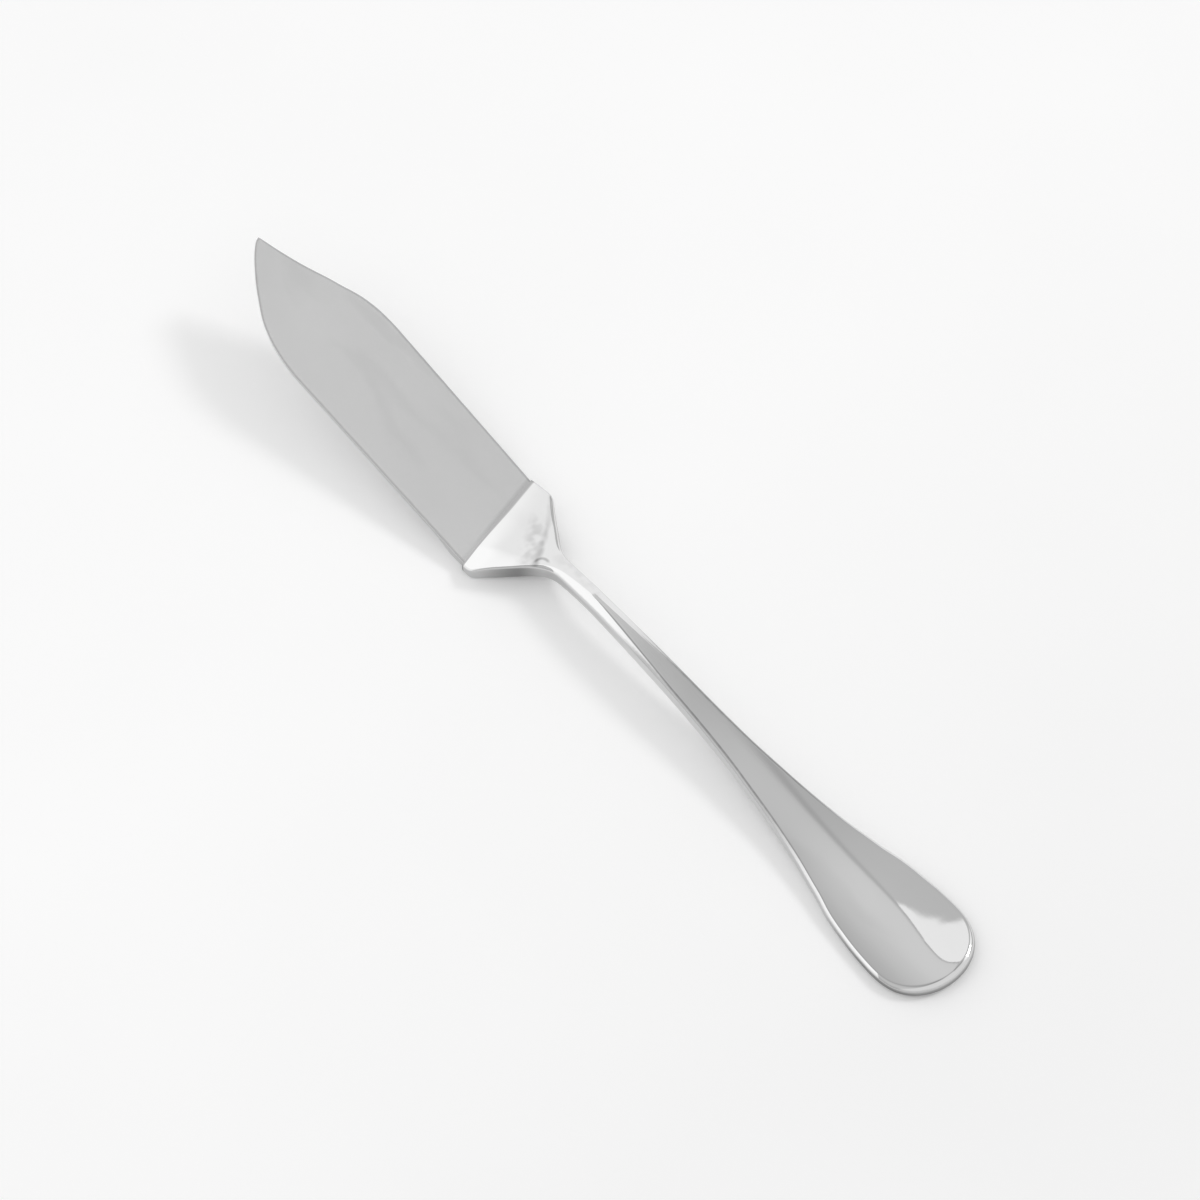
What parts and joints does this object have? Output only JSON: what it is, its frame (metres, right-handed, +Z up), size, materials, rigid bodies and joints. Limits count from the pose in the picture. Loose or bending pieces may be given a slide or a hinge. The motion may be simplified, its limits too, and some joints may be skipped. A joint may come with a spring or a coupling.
{
  "type": "fish knife",
  "caption": "Table fish knife with a wide, blunt, pointed blade climbing from its heel and an arched handle that flares to a rounded end.",
  "frame": {"origin": "on the table, at the middle of the knife's length and width as it lies at rest", "axes": "+X from the blade's tip to the handle's end, +Y towards the blade's back, +Z up from the table"},
  "size_m": [0.2017, 0.0242, 0.0138],
  "materials": {
    "blade_metal": "polished stainless steel with faint lengthwise polishing lines",
    "handle_metal": "mirror-polished stainless steel",
    "solder": "dull grey silver solder, wiped flush"
  },
  "bodies": {
    "root": {"blade": "blade_metal", "handle": "handle_metal", "solder_seam": "solder"}
  },
  "joints": []
}
